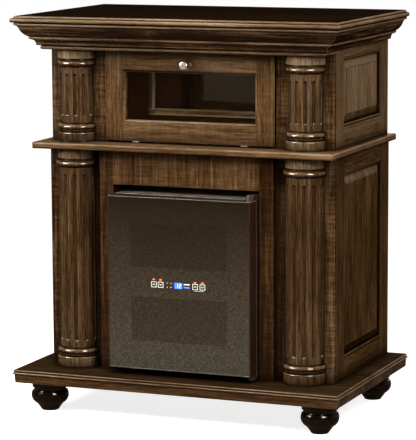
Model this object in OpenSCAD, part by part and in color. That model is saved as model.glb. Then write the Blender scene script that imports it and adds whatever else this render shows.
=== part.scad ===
// Wine cabinet: fluted half-columns, mitred crown, drop-front stemware compartment, bottle cooler.
// The origin is on the floor, in the middle of the footprint. -Y is the front, +Z is up.

/* [Base] */
// Height of a bun foot
foot_h = 90; // [84:1:105]
// Radius of a bun foot at its bulb
foot_r = 56; // [52:1:62]
// Radius of the bulb's rounding
foot_bulb_r = 28; // [26:1:30]
// Height of the bulb's widest ring
foot_bulb_z = 46; // [44:1:50]
// Radius of the foot's sole
foot_sole_r = 27; // [22:1:30]
// Radius of the foot's collar under the slab
foot_collar_r = 53; // [50:1:56]
// Height of the foot's collar
foot_collar_h = 20; // [16:1:22]
// Distance from a foot's axis to the slab's edges
foot_inset = 84; // [70:1:110]
// Radius of the hanger bolts in the feet
bolt_r = 5; // [4:0.5:6]
// Thickness of the base slab
slab_t = 39; // [34:1:50]
// How far the base slab stands out at each side
slab_side = 65; // [45:1:90]
// How far the base slab stands out in front
slab_front = 151; // [125:1:190]

/* [Lower carcass] */
// Clear height over the cooler, below the bay frame's header
bay_air = 25; // [10:1:60]
// Distance from a lower column's rings to the bay frame and to the carcass corner
column_gap = 23; // [14:1:40]
// Depth of the lower carcass, without the bay frame
carcass_d = 497; // [490:1:560]
// Thickness of boards and frames
board_t = 19; // [17:1:22]
// Gap at each side of the cooler, inside the bay frame
bay_gap = 7; // [4:1:12]
// Width of a bay frame stile
bay_stile_w = 42; // [36:1:46]
// Height of the bay frame's header rail
bay_header_h = 102; // [90:1:104]
// How far the bay frame stands out from the front boards
bay_proud = 33; // [25:1:40]
// Thickness of the back panel
back_t = 6; // [4:1:9]

/* [Side frames] */
// Width of a side frame's front stile, counted from the corner
stile_front_w = 80; // [60:1:110]
// Width of a side frame's rear stile
stile_rear_w = 66; // [50:1:100]
// Height of the lower side frame's bottom rail
rail_base_h = 60; // [50:1:90]
// Height of the lower side frame's top rail
rail_ledge_h = 54; // [40:1:80]
// Height of the upper side frame's bottom rail
rail_deck_h = 60; // [55:1:80]
// Height of the upper side frame's top rail below the crown
rail_crown_h = 25; // [24:1:40]
// Width of the beaded edge inside a side frame, with its quirk
bead_w = 8; // [6:0.5:9]
// Width of a raised panel's bevel
bevel_w = 27; // [20:1:34]
// Depth of the groove that a panel's tongue sits in
groove_d = 10; // [9:0.5:12]
// Thickness of a panel's tongue
tongue_t = 5; // [4:0.5:6]

/* [Ledge and upper carcass] */
// Thickness of the ledge
ledge_t = 19; // [15:1:25]
// How far the ledge stands out at each side
ledge_side = 23; // [12:1:35]
// How far the ledge stands out in front
ledge_front = 83; // [76:1:96]
// Height from the ledge to the soffit board
upper_h = 273.5; // [265:0.5:310]
// How much narrower the upper carcass is at each side
upper_setin = 4; // [1:1:10]
// How far the upper carcass stands behind the lower one
upper_setback = 7; // [1:1:12]

/* [Columns] */
// Radius of a lower column's shaft
lower_shaft_r = 57.5; // [54:0.5:59]
// Radius of a lower column's rings
lower_ring_r = 65; // [63:0.5:68]
// Radius of a lower column's flutes
lower_flute_r = 7.5; // [6:0.5:8]
// Radius of an upper column's shaft
upper_shaft_r = 50; // [46:0.5:52]
// Radius of an upper column's rings
upper_ring_r = 58.5; // [56:0.5:62]
// Radius of an upper column's flutes
upper_flute_r = 6.5; // [5:0.5:7]
// Radius of a column's cap
cap_r = 60; // [56:0.5:62]
// Height of a lower column's drum base
lower_drum_h = 33; // [26:1:38]
// Height of a lower column's cap
lower_cap_h = 30; // [24:1:34]
// Height of an upper column's drum base
upper_drum_h = 28; // [22:1:34]
// Height of an upper column's cap
upper_cap_h = 27; // [20:1:32]
// Height of the neck between a ring and the drum or the cap
neck_h = 6.5; // [5:0.5:9]
// Radius of a ring's rounding
ring_round = 9; // [7:0.5:9.5]
// Depth of the quirks beside a ring
quirk_d = 3; // [2:0.5:4]
// Flutes on each half-column
flutes = 6; // [4:1:7]
// Depth of a flute
flute_d = 5; // [3:0.5:5]
// Plain length between a ring and the ends of the flutes
flute_margin = 20; // [14:1:26]

/* [Crown and top] */
// How far the crown's foot stands in front of the upper carcass
crown_buildup = 76; // [72:1:88]
// Thickness of the soffit board
soffit_t = 12; // [10:1:16]
// How far the crown's foot stands out
crown_foot = 9.5; // [8:0.5:12]
// Height of the crown's foot
crown_foot_h = 5; // [4:0.5:8]
// Radius of the crown's lower hollow
crown_hollow = 13.5; // [11:0.5:16]
// Radius of the crown's small bead
crown_bead = 3.5; // [2.5:0.5:4.5]
// Depth of the crown's bulging face
crown_face_p = 22; // [18:0.5:26]
// Height of the crown's bulging face
crown_face_h = 27.5; // [24:0.5:34]
// Radius of the crown's bulging face
crown_face_r = 45; // [34:1:80]
// Radius of the crown's upper hollow
crown_neck = 5.5; // [4:0.5:8]
// Radius of the crown's top bead
crown_torus = 3.75; // [3:0.25:5]
// Thickness of the top slab
top_t = 20; // [19:1:25]
// How far the top slab stands out over the crown
top_over = 7.75; // [4:0.25:14]
// Height of the bead round the top slab
top_bead = 13.5; // [12.5:0.5:14]

/* [Drop door] */
// Half width of the drop door
door_half = 265.5; // [264:0.5:266]
// Gap round the drop door
door_gap = 3; // [2:0.5:4]
// Thickness of the drop door
door_t = 19; // [18:1:22]
// How far the door stands in front of the upper carcass
door_proud = 7; // [5:0.5:9]
// Width of the door's stiles and rails
door_rail_w = 54; // [48:1:60]
// Width of the moulded edge round the glass
sticking_w = 8; // [6:0.5:9]
// Thickness of the door glass
glass_t = 4; // [3:0.5:5]
// Distance of the hinges from the middle
hinge_x = 171; // [120:1:200]
// Length of a hinge
hinge_len = 20; // [16:1:40]
// Radius of a hinge knuckle
knuckle_r = 2.7; // [2.4:0.1:2.8]
// Radius of a hinge pin
hinge_pin_r = 1.2; // [1:0.1:1.4]
// Thickness of a hinge leaf
leaf_t = 1.4; // [1:0.1:1.5]
// Running clearance of the pins and shafts
pin_play = 0.05; // [0.03:0.01:0.08]
// Radius of the round knob
knob_r = 12.5; // [10:0.5:15]
// How far the knob stands out
knob_out = 44; // [36:1:50]
// Length of the knob's head
knob_head = 31; // [22:1:34]

/* [Stemware compartment] */
// How far the compartment's sides stand in from the drop door's ends
comp_lap = 3.5; // [2.5:0.5:6]
// Depth of the compartment, behind the upper carcass face
comp_d = 307; // [280:1:380]
// Thickness of the compartment's sides and back
comp_t = 15; // [12:1:18]
// Stemware rails
rack_rails = 6; // [4:1:6]
// Distance from the outer stemware rails to the compartment's sides
rack_end = 10; // [6:1:16]
// Width of a stemware rail's flange
rack_flange_w = 54; // [50:1:56]
// Thickness of a stemware rail's flange
rack_flange_t = 10; // [8:1:12]
// Thickness of a stemware rail's stem
rack_stem_w = 14; // [12:1:18]
// Height of a stemware rail's stem
rack_stem_h = 16; // [14:1:18]
// Height of the mirror frame above the ledge
mirror_rise = 51; // [40:1:70]
// Width of the mirror frame
mirror_rail_w = 20; // [16:1:28]
// Thickness of the mirror frame
mirror_rail_t = 12; // [10:1:16]
// Thickness of the mirror
mirror_t = 4; // [3:0.5:5]

/* [Cooler] */
// Half width of the cooler
cool_half = 223; // [220:1:226]
// Height of the cooler's case
cool_h = 512; // [500:1:516]
// Depth of the cooler's case
cool_d = 415; // [400:1:425]
// Thickness of the cooler's insulated sides, top and bottom
cool_wall = 30; // [28:1:34]
// Thickness of the cooler's insulated back
cool_back_wall = 44; // [36:1:50]
// Thickness of the liner
liner_t = 2.5; // [2:0.5:4]
// Thickness of the divider between the zones
divider_t = 30; // [24:1:36]
// Height of the cooler's feet
cool_foot_h = 19; // [17:1:22]
// Wire shelves in each zone
shelves = 2; // [1:1:2]
// Rods on a wire shelf
shelf_rods = 12; // [8:1:16]
// Size of a cooling fan
fan_w = 92; // [84:1:98]
// Thickness of a cooling fan
fan_t = 20; // [18:1:25]
// Blades of a fan rotor
blades = 7; // [5:1:9]
// Radius of a fan's shaft
shaft_r = 2; // [1.5:0.1:2.5]
// Depth of a heat sink
sink_d = 28; // [22:1:34]
// Thickness of the rear cover's sheet
cover_t = 2; // [1.5:0.5:3]

/* [Cooler door] */
// Thickness of the cooler's door
cool_door_t = 46; // [44:1:50]
// Width of the door's frame
cool_rail_w = 50; // [46:1:60]
// Rim of the frame round the outer glass
cool_rim = 3; // [2:0.5:4]
// Thickness of the outer door glass
cool_glass_t = 5; // [4:0.5:6]
// Thickness of the inner door glass
inner_glass_t = 4; // [3:0.5:5]
// Gap between the door and the case that the gasket fills
gasket_gap = 9.5; // [9:0.5:11]
// Width of the gasket
gasket_w = 14; // [11:1:14]
// Distance from the frame's outer edge to the gasket
gasket_in = 11; // [11:1:13]
// Radius of the cooler door's hinge pins
cool_pin_r = 4; // [3:0.5:5]
// Distance from the door's right edge to its hinge axis
cool_pin_in = 12; // [11:0.5:12]
// Distance from the door's back to its hinge axis
cool_pin_back = 9.5; // [9:0.5:10]
// Width of the touch control panel
panel_w = 176; // [140:1:200]
// Height of the touch control panel
panel_h = 34; // [26:1:40]

/* [Hidden] */
$fn = 64;
over = 1;

bay_in = cool_half + bay_gap;
bay_half = bay_in + bay_stile_w;
column_x = bay_half + column_gap + lower_ring_r;
half_w = column_x + lower_ring_r + column_gap;
lower_h = cool_foot_h + cool_h + bay_air + bay_header_h;
back_y = (carcass_d + slab_front) / 2;
front_y = back_y - carcass_d;
inner_back_y = back_y - back_t;
bay_y = front_y - bay_proud;
partition_gap = 4;
partition_in = bay_half - board_t - partition_gap;

z_floor = foot_h + slab_t;
z_ledge = z_floor + lower_h;
z_deck = z_ledge + ledge_t;
z_soffit = z_deck + upper_h;
z_crown = z_soffit + soffit_t;
bay_top_z = z_ledge - bay_header_h;

up_half = half_w - upper_setin;
up_front_y = front_y + upper_setback;
crown_y = up_front_y - crown_buildup;

// The crown's shape, from its foot up: each stretch starts where the last one ended.
crown_lip = 1;
crown_p1 = crown_foot + crown_hollow;
crown_z1 = crown_foot_h + crown_hollow;
crown_p2 = crown_p1 + crown_bead - 0.5;
crown_z2 = crown_z1 + crown_lip + 2 * crown_bead;
crown_p3 = crown_p2 + crown_face_p;
crown_z3 = crown_z2 + crown_face_h;
crown_p4 = crown_p3 + crown_lip + crown_neck;
crown_z4 = crown_z3 + crown_neck + crown_lip;
crown_quirk = 0.5;
crown_out = crown_p4 + crown_lip + crown_torus;
crown_h = crown_z4 + 2 * crown_torus + crown_quirk;
z_top = z_crown + crown_h;
top_p = crown_out + top_over;

// Hanger bolts: partly in the foot, the rest in the slab.
bolt_in_foot = 45;
bolt_in_slab = 26;
bolt_play = 0.05;

quirk_h = 3.5;
fillet_h = 3;
fillet_lap = 0.8;

panel_sink = 2;
panel_step = 1.5;
tongue_play = 1;

door_y = up_front_y - door_proud;
door_back_y = door_y + door_t;
hinge_z = z_deck + knuckle_r + 0.2;
hinge_y = door_y + 1.4;
door_z0 = hinge_z + knuckle_r - 0.1;
door_z1 = z_soffit - door_gap - 0.5;
door_mid_z = (door_z0 + door_z1) / 2;
sight_half = door_half - door_rail_w - sticking_w;
sight_h2 = (door_z1 - door_z0) / 2 - door_rail_w - sticking_w;
sticking_step = 2;
sticking_d = sticking_step + sticking_w;
glass_lap = 8;
glass_play = 0.5;
board_in = door_half + door_gap;
knob_drop = 36;
knob_z = door_z1 - knob_drop;
leaf_w = 14;
knuckle_gap = 0.3;
stop_gap = 0.5;

comp_half = door_half - comp_lap;
comp_back_y = up_front_y + comp_d;
rack_front = 24;
rack_y = door_back_y + rack_front;
rack_pitch = 2 * (comp_half - rack_end - rack_flange_w / 2) / (rack_rails - 1);
mirror_half = comp_half - 1;
mirror_z0 = z_deck + mirror_rise;
mirror_z1 = z_soffit - rack_stem_h - rack_flange_t - 4;
mirror_lap = 6;

cool_y = bay_y;
cool_z0 = z_floor + cool_foot_h;
cool_z1 = cool_z0 + cool_h;
cool_mid_z = (cool_z0 + cool_z1) / 2;
cool_back_y = cool_y + cool_d;
cav_half = cool_half - cool_wall;
cav_back_y = cool_back_y - cool_back_wall;
liner_half = cav_half - liner_t;
liner_back_y = cav_back_y - liner_t;
zone_h = cool_h / 2 - cool_wall - liner_t - divider_t / 2;
zone_dz = (divider_t + zone_h) / 2;
block_half = 20;
block_play = 0.3;
plate_half = 80;
plate_h2 = 45;
plate_t = 5;
fin_d = 10;
sink_w = fan_w + 32;
sink_base = 4;
fan_y = cool_back_y + sink_d;
fan_bore = fan_w / 2 - 3;
spider_t = 3;
cover_inlet_w = 88;
cover_half = sink_w / 2 + cover_inlet_w;
cover_end = 24;
cover_y = cool_back_y + sink_d + fan_t + 6;
inlet_x = cover_half - 40;
inlet_z = cool_z0 + cover_end + 34;
inlet_w = 27;
inlet_h = 20;

runner_w = 5;
runner_t = 4;
bar_r = 2.5;
rod_r = 1.8;
shelf_play = 0.2;
shelf_front = 16;
shelf_y0 = cool_y + shelf_front;
shelf_y1 = liner_back_y - plate_t - fin_d - 6;

cool_door_y1 = cool_y - gasket_gap;
cool_door_y0 = cool_door_y1 - cool_door_t;
cool_door_play = 0.8;
cool_door_z0 = cool_z0 + cool_door_play;
cool_door_z1 = cool_z1 - cool_door_play;
cool_pin_x = cool_half - cool_pin_in;
cool_pin_y = cool_door_y1 - cool_pin_back;
cool_pin_l = 12;
inner_lap = 8;
gasket_play = 0.3;
bracket_t = 4;
bracket_cover = 14;
bracket_plate = 30;
bracket_back = 10;

wood = "#5b4128";
dark_wood = "#3a2617";
metal = "#b9bbbd";
black = "#17171a";
smoke = "#4a4640";

// A section drawn in X and Z, swept along Y from y0 to y1.
module along_y(y0, y1) {
  translate([0, y1, 0]) rotate([90, 0, 0]) linear_extrude(y1 - y0) children();
}

// A section drawn in Y and Z, swept along X from x0 to x1.
module along_x(x0, x1) {
  translate([x0, 0, 0]) rotate([90, 0, 90]) linear_extrude(x1 - x0) children();
}

// A box given by its lowest and highest corners.
module block(low, high) {
  translate(low) cube(high - low);
}

module both_sides() {
  children();
  mirror([1, 0, 0]) children();
}

// What a square corner loses when it is rounded: the corner is at the origin, material below left.
module corner_waste(r) {
  translate([-r, -r]) difference() {
    square(r + over);
    circle(r);
  }
}

// A slab whose front and side edges carry one moulding, mitred at the corners. The children draw
// what the moulding takes from a square edge, with the edge at X = 0 and the slab's underside at 0.
module moulded_slab(half, y0, y1, z0, t) {
  intersection() {
    along_y(y0, y1) translate([0, z0]) difference() {
      translate([-half, 0]) square([2 * half, t]);
      translate([half, 0]) children();
      mirror([1, 0]) translate([half, 0]) children();
    }
    along_x(-half, half) translate([y0, z0]) difference() {
      square([y1 - y0, t]);
      mirror([1, 0]) children();
    }
  }
}

// A mitred cutter for a moulded opening in a face towards -Y. The children draw what the moulding
// takes beyond the sight line at X = 0, with the depth along Y.
module mitred_cutter(half, h2, z_mid, y0, depth) {
  translate([0, y0, z_mid]) intersection() {
    linear_extrude(4 * h2, center = true) cutter_section(half, depth) children();
    rotate([0, 90, 0]) linear_extrude(4 * half, center = true) cutter_section(h2, depth) children();
  }
}

module cutter_section(half, depth) {
  translate([-half, -over]) square([2 * half, depth + 2 * over]);
  translate([half, 0]) children();
  mirror([1, 0]) translate([half, 0]) children();
}

// Base

// What the base slab's edge loses: two beads stay at the top, over a fascia that leans outward.
module slab_edge() {
  upper_r = 3;
  upper_in = 2.5;
  lower_r = 3.2;
  quirk = 1.2;
  lean = 2;
  fascia_in = 4.5;
  depth = upper_in + 2 * upper_r + 1;
  lower_z = slab_t - 2 * upper_r - quirk - lower_r;
  difference() {
    translate([-depth, -over]) square([depth + over, slab_t + 2 * over]);
    polygon([
      [-depth - over, 0], [-fascia_in - lean, 0], [-fascia_in, lower_z], [-fascia_in, slab_t - upper_r],
      [-upper_in - upper_r, slab_t - upper_r], [-upper_in - upper_r, slab_t], [-depth - over, slab_t]
    ]);
    translate([-lower_r, lower_z]) circle(lower_r);
    translate([-upper_in - upper_r, slab_t - upper_r]) circle(upper_r);
  }
}

module foot_places() {
  for (x = [-1, 1], y = [front_y - slab_front + foot_inset, back_y - foot_inset])
    translate([x * (half_w + slab_side - foot_inset), y, 0]) children();
}

module base_slab() {
  color(wood) difference() {
    moulded_slab(half_w + slab_side, front_y - slab_front, back_y, foot_h, slab_t) slab_edge();
    foot_places() translate([0, 0, foot_h - over])
      cylinder(h = bolt_in_slab + 2 * over, r = bolt_r + bolt_play);
  }
}

module foot_section() {
  core_r = foot_r - foot_bulb_r;
  cone_z = foot_bulb_z - 0.9 * foot_bulb_r;
  cone_r = core_r + 0.43 * foot_bulb_r;
  neck_r = foot_collar_r - 3.5;
  collar_z = foot_h - foot_collar_h;
  cove_r = 6;
  difference() {
    union() {
      intersection() {
        translate([core_r, foot_bulb_z]) circle(foot_bulb_r);
        square([foot_r, foot_h]);
      }
      polygon([[0, 0], [foot_sole_r - 2, 0], [foot_sole_r, 3], [cone_r, cone_z], [0, cone_z]]);
      translate([0, cone_z - over]) square([core_r, over + foot_bulb_r]);
      translate([0, foot_bulb_z]) square([neck_r, foot_h - foot_bulb_z]);
      translate([0, collar_z]) square([foot_collar_r, foot_collar_h]);
    }
    translate([foot_collar_r + 1, collar_z - cove_r + 0.5]) circle(cove_r);
    translate([-over, foot_h - bolt_in_foot]) square([over + bolt_r + bolt_play, bolt_in_foot + over]);
  }
}

module bun_feet() {
  color(dark_wood) foot_places() rotate_extrude() foot_section();
}

module foot_bolts() {
  color(metal) foot_places() translate([0, 0, foot_h - bolt_in_foot])
    cylinder(h = bolt_in_foot + bolt_in_slab, r = bolt_r);
}

// Side frames and raised panels

function opening_y0(face_y) = face_y + stile_front_w;
opening_y1 = back_y - stile_rear_w;

// What the inner edge takes from the frame: a quirk, and the room round a bead.
module bead_waste() {
  r = (bead_w - bead_quirk) / 2;
  difference() {
    translate([0, -over]) square([bead_w, r + over]);
    translate([r, r]) circle(r);
  }
}

// The groove and the tongue in it lie between these depths behind the frame's outer face.
bead_quirk = 1.4;
tongue_x1 = 11.5;
tongue_x0 = tongue_x1 + tongue_t;

module side_frame(half, face_y, z0, z1, open_z0, open_z1) {
  y0 = opening_y0(face_y);
  reach = groove_d - bead_w;
  color(wood) difference() {
    block([half - board_t, face_y + board_t, z0], [half, back_y, z1]);
    translate([half, (y0 + opening_y1) / 2, 0]) rotate([0, 0, 90])
      mitred_cutter((opening_y1 - y0) / 2 - bead_w, (open_z1 - open_z0) / 2 - bead_w,
        (open_z0 + open_z1) / 2, 0, board_t) bead_waste();
    block([half - tongue_x0, y0 - reach, open_z0 - reach],
      [half - tongue_x1, opening_y1 + reach, open_z1 + reach]);
  }
}

// A raised panel's section: tongue, bevel and field, with the thickness along X.
module panel_section(half, a0, a1) {
  s0 = a0 + bead_w;
  s1 = a1 - bead_w;
  tongue = groove_d - tongue_play;
  x0 = half - tongue_x0;
  xt = half - tongue_x1;
  x1 = half - panel_sink;
  polygon([
    [x0, s0 - tongue], [xt, s0 - tongue], [xt, s0], [x1 - panel_step, s0 + bevel_w],
    [x1, s0 + bevel_w], [x1, s1 - bevel_w], [x1 - panel_step, s1 - bevel_w],
    [xt, s1], [xt, s1 + tongue], [x0, s1 + tongue]
  ]);
}

module raised_panel(half, face_y, open_z0, open_z1) {
  y0 = opening_y0(face_y);
  color(wood) intersection() {
    translate([0, 0, open_z0 - groove_d]) linear_extrude(open_z1 - open_z0 + 2 * groove_d)
      panel_section(half, y0, opening_y1);
    along_y(y0 - groove_d, opening_y1 + groove_d) panel_section(half, open_z0, open_z1);
  }
}

module lower_side_frame_right() {
  side_frame(half_w, front_y, z_floor, z_ledge, z_floor + rail_base_h, z_ledge - rail_ledge_h);
}

module lower_side_frame_left() {
  mirror([1, 0, 0]) lower_side_frame_right();
}

module lower_side_panel_right() {
  raised_panel(half_w, front_y, z_floor + rail_base_h, z_ledge - rail_ledge_h);
}

module lower_side_panel_left() {
  mirror([1, 0, 0]) lower_side_panel_right();
}

module upper_side_frame_right() {
  side_frame(up_half, up_front_y, z_deck, z_top, z_deck + rail_deck_h, z_crown - rail_crown_h);
}

module upper_side_frame_left() {
  mirror([1, 0, 0]) upper_side_frame_right();
}

module upper_side_panel_right() {
  raised_panel(up_half, up_front_y, z_deck + rail_deck_h, z_crown - rail_crown_h);
}

module upper_side_panel_left() {
  mirror([1, 0, 0]) upper_side_panel_right();
}

// Front boards, bay and back

module lower_front_board_right() {
  color(wood) block([bay_half, front_y, z_floor], [half_w, front_y + board_t, z_ledge]);
}

module lower_front_board_left() {
  mirror([1, 0, 0]) lower_front_board_right();
}

module upper_front_board_right() {
  color(wood) block([board_in, up_front_y, z_deck], [up_half, up_front_y + board_t, z_soffit]);
}

module upper_front_board_left() {
  mirror([1, 0, 0]) upper_front_board_right();
}

module bay_frame() {
  color(wood) {
    both_sides() block([bay_in, bay_y, z_floor], [bay_half, front_y + board_t, z_ledge]);
    block([-bay_half, bay_y, bay_top_z], [bay_half, bay_y + board_t, z_ledge]);
  }
}

module bay_partitions() {
  color(wood) both_sides() block([partition_in, front_y + board_t, z_floor],
    [partition_in + board_t, inner_back_y, z_ledge]);
}

module ledge_edge() {
  translate([0, ledge_t]) corner_waste(5);
  mirror([0, 1]) corner_waste(3);
}

module ledge() {
  half = half_w + ledge_side;
  front = front_y - ledge_front;
  color(wood) difference() {
    moulded_slab(half, front, back_y, z_ledge, ledge_t) ledge_edge();
    both_sides() translate([half, front, z_ledge - over]) linear_extrude(ledge_t + 2 * over)
      mirror([0, 1]) corner_waste(7);
    block([board_t - half_w, inner_back_y, z_ledge - over],
      [half_w - board_t, back_y + over, z_deck + over]);
  }
}

module back_panel() {
  vent_margin = 50;
  vent_half = bay_in - vent_margin;
  color(dark_wood) along_y(inner_back_y, back_y) difference() {
    union() {
      translate([board_t - half_w, z_floor]) square([2 * (half_w - board_t), z_deck - z_floor]);
      translate([board_t - up_half, z_deck - over])
        square([2 * (up_half - board_t), z_top - z_deck + over]);
    }
    translate([-vent_half, cool_z0 + vent_margin])
      square([2 * vent_half, cool_z1 - cool_z0 - 2 * vent_margin]);
  }
}

// Columns

// Half the outline of a ring, drawn for the lower end of a column, with its middle at height z.
// A fillet lies below the ring, then the neck; above it a quirk parts it from the shaft.
module ring_outline(shaft, ring, z) {
  translate([0, z - ring_round - neck_h - over])
    square([shaft - quirk_d, 2 * ring_round + neck_h + quirk_h + 2 * over]);
  translate([0, z - ring_round - fillet_h]) square([ring - quirk_d, fillet_h + fillet_lap]);
  translate([ring - ring_round, z]) circle(ring_round);
}

// Half the outline of a turned column: drum, ring, shaft, ring and cap. The list holds the heights
// of the two rings' middles.
module column_section(h, shaft, ring, zs) {
  drum = ring + 0.5;
  drum_h = zs[0] - ring_round - neck_h;
  cap_z = zs[1] + ring_round + neck_h;
  shaft_z = ring_round + quirk_h;
  difference() {
    union() {
      square([drum, drum_h]);
      translate([0, zs[0] + shaft_z]) square([shaft, zs[1] - zs[0] - 2 * shaft_z]);
      translate([0, cap_z]) square([max(cap_r, shaft + 0.5), h - cap_z]);
      ring_outline(shaft, ring, zs[0]);
      translate([0, zs[1]]) mirror([0, 1]) ring_outline(shaft, ring, 0);
    }
    translate([drum, drum_h]) corner_waste(3);
  }
}

// A flute's cutter: a rod along Z with round ends, revolved from its half outline.
module flute_cutter(r, z0, z1) {
  rotate_extrude() difference() {
    translate([0, z0]) square([r, z1 - z0]);
    translate([r, z1]) corner_waste(r);
    translate([r, z0]) mirror([0, 1]) corner_waste(r);
  }
}

module half_column(x, face_y, z0, h, shaft, ring, flute_r, zs) {
  pitch = 180 / flutes;
  margin = ring_round + flute_margin;
  color(wood) translate([x, face_y, z0]) rotate([0, 0, 180]) difference() {
    rotate_extrude(angle = 180) column_section(h, shaft, ring, zs);
    for (i = [0 : flutes - 1])
      rotate([0, 0, pitch * (i + 0.5)]) translate([shaft + flute_r - flute_d, 0, 0])
        flute_cutter(flute_r, zs[0] + margin, zs[1] - margin);
  }
}

module lower_column(x) {
  half_column(x, front_y, z_floor, lower_h, lower_shaft_r, lower_ring_r, lower_flute_r,
    [lower_drum_h + neck_h + ring_round, lower_h - lower_cap_h - neck_h - ring_round]);
}

module upper_column(x) {
  half_column(x, up_front_y, z_deck, upper_h, upper_shaft_r, upper_ring_r, upper_flute_r,
    [upper_drum_h + neck_h + ring_round, upper_h - upper_cap_h - neck_h - ring_round]);
}

module lower_column_left() lower_column(-column_x);
module lower_column_right() lower_column(column_x);
module upper_column_left() upper_column(-column_x);
module upper_column_right() upper_column(column_x);

// Stemware compartment

module compartment_sides() {
  color(dark_wood) both_sides() {
    block([comp_half, up_front_y + board_t, z_deck],
      [comp_half + comp_t, comp_back_y + comp_t, z_soffit]);
    block([comp_half, door_back_y + stop_gap, z_deck], [board_in, up_front_y + board_t + over, z_soffit]);
  }
}

module compartment_back() {
  color(dark_wood)
    block([-comp_half, comp_back_y, z_deck], [comp_half, comp_back_y + comp_t, z_soffit]);
}

// The room behind the mirror frame's sight edge that the mirror fills.
module mirror_body(front, back) {
  lap = mirror_rail_w - mirror_lap;
  block([lap - mirror_half, comp_back_y - front, mirror_z0 + lap],
    [mirror_half - lap, comp_back_y + back, mirror_z1 - lap]);
}

module mirror_frame() {
  color(wood) difference() {
    block([-mirror_half, comp_back_y - mirror_rail_t, mirror_z0], [mirror_half, comp_back_y, mirror_z1]);
    mitred_cutter(mirror_half - mirror_rail_w, (mirror_z1 - mirror_z0) / 2 - mirror_rail_w,
      (mirror_z0 + mirror_z1) / 2, comp_back_y - mirror_rail_t, mirror_rail_t)
      polygon([[0, -over], [8, -over], [5, 1], [5, 2], [0, 6]]);
    mirror_body(mirror_t, over);
  }
}

module mirror_glass() {
  color("#9fa6a8") mirror_body(mirror_t, 0);
}

module rail_section() {
  half = rack_flange_w / 2;
  low = -rack_stem_h - rack_flange_t;
  translate([-rack_stem_w / 2, low]) square([rack_stem_w, rack_stem_h + rack_flange_t]);
  difference() {
    translate([-half, low]) square([2 * half, rack_flange_t]);
    for (side = [0, 1]) mirror([side, 0]) translate([half, low]) mirror([0, 1]) corner_waste(4);
  }
}

module stemware_rack() {
  color(wood) for (i = [0 : rack_rails - 1])
    translate([(i - (rack_rails - 1) / 2) * rack_pitch, 0, z_soffit])
      along_y(rack_y, comp_back_y) rail_section();
}

// Soffit, crown and top

module soffit_edge() {
  nose = soffit_t / 2 - 0.5;
  mirror([0, 1]) corner_waste(nose);
  translate([0, soffit_t]) corner_waste(nose);
}

module soffit_board() {
  color(wood) difference() {
    moulded_slab(up_half, crown_y, inner_back_y, z_soffit, soffit_t) soffit_edge();
    both_sides() block([up_half - board_t, up_front_y + board_t, z_soffit - over],
      [up_half + over, back_y, z_crown + over]);
  }
}

module crown_backer() {
  color(dark_wood) {
    block([-up_half, crown_y, z_crown], [up_half, crown_y + board_t, z_top]);
    both_sides() block([up_half - board_t, crown_y, z_crown], [up_half, up_front_y + board_t, z_top]);
  }
}

// The crown's section: how far it stands out along X, its height along Y. From below: a foot, a
// hollow, a small bead, the bulging face, a small hollow and the top bead.
module crown_section() {
  foot_r = crown_foot_h - 1;
  face = [crown_face_p, crown_face_h];
  mid = [crown_p2, crown_z2] + face / 2;
  arm = sqrt(crown_face_r * crown_face_r - face * face / 4) / norm(face);
  difference() {
    square([crown_p1, crown_z2]);
    translate([crown_foot, 0]) mirror([0, 1]) corner_waste(foot_r);
    translate([crown_foot, -over]) square([crown_hollow + over, crown_foot_h + over]);
    translate([crown_p1, crown_foot_h]) circle(crown_hollow);
  }
  translate([crown_p1 - 0.5, crown_z1 + crown_lip + crown_bead]) circle(crown_bead);
  translate([0, crown_z2]) square([crown_p2, crown_face_h]);
  intersection() {
    translate(mid + arm * [-face[1], face[0]]) circle(crown_face_r);
    translate([crown_p2 - over, crown_z2]) square([crown_face_p + over, crown_face_h]);
  }
  difference() {
    translate([0, crown_z3]) square([crown_p4, crown_h - crown_z3]);
    translate([crown_p4, crown_z3]) circle(crown_neck);
  }
  translate([crown_p4 + crown_lip, crown_z4 + crown_torus]) circle(crown_torus);
}

// Cuts a crown length along the plan of its mitres.
module crown_cut(plan) {
  intersection() {
    children();
    translate([0, 0, z_crown - over]) linear_extrude(crown_h + 2 * over) polygon(plan);
  }
}

module crown_front() {
  out = crown_out + over;
  color(wood) crown_cut([
    [over - up_half, crown_y + over], [-up_half - out, crown_y - out],
    [up_half + out, crown_y - out], [up_half - over, crown_y + over]
  ]) along_x(-up_half - out, up_half + out) translate([crown_y, z_crown]) mirror([1, 0]) crown_section();
}

module crown_right() {
  out = crown_out + over;
  color(wood) crown_cut([
    [up_half - over, crown_y + over], [up_half + out, crown_y - out],
    [up_half + out, back_y + over], [up_half - over, back_y + over]
  ]) along_y(crown_y - out, back_y) translate([up_half, z_crown]) crown_section();
}

module crown_left() {
  mirror([1, 0, 0]) crown_right();
}

// What the top slab's edge loses: a bead below, then a step back to a rounded upper edge.
module top_edge() {
  bead_r = top_bead / 2 - 0.75;
  step = 9;
  mirror([0, 1]) corner_waste(bead_r);
  translate([0, top_bead]) corner_waste(bead_r);
  translate([-step, top_bead]) square([step + over, top_t]);
  translate([-step, top_t]) corner_waste(top_t - top_bead - 0.5);
}

module top_slab() {
  color(wood) moulded_slab(up_half + top_p, crown_y - top_p, back_y, z_top, top_t) top_edge();
}

// Drop door

// What the moulded edge takes from the door's frame: a step, a rounded bead and a small fillet.
module sticking_waste() {
  r = sticking_w - 2;
  translate([0, -over]) square([sticking_w, sticking_step + over]);
  difference() {
    translate([0, sticking_step - over]) square([r + 1, r + over]);
    translate([r + 1, sticking_step + r]) circle(r);
  }
}

// The room behind the sight line, lap wide, between two depths from the door's face.
module glass_room(lap, d0, d1) {
  block([-sight_half - lap, door_y + d0, door_mid_z - sight_h2 - lap],
    [sight_half + lap, door_y + d1, door_mid_z + sight_h2 + lap]);
}

module at_hinges() {
  both_sides() translate([hinge_x, hinge_y, hinge_z]) children();
}

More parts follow.
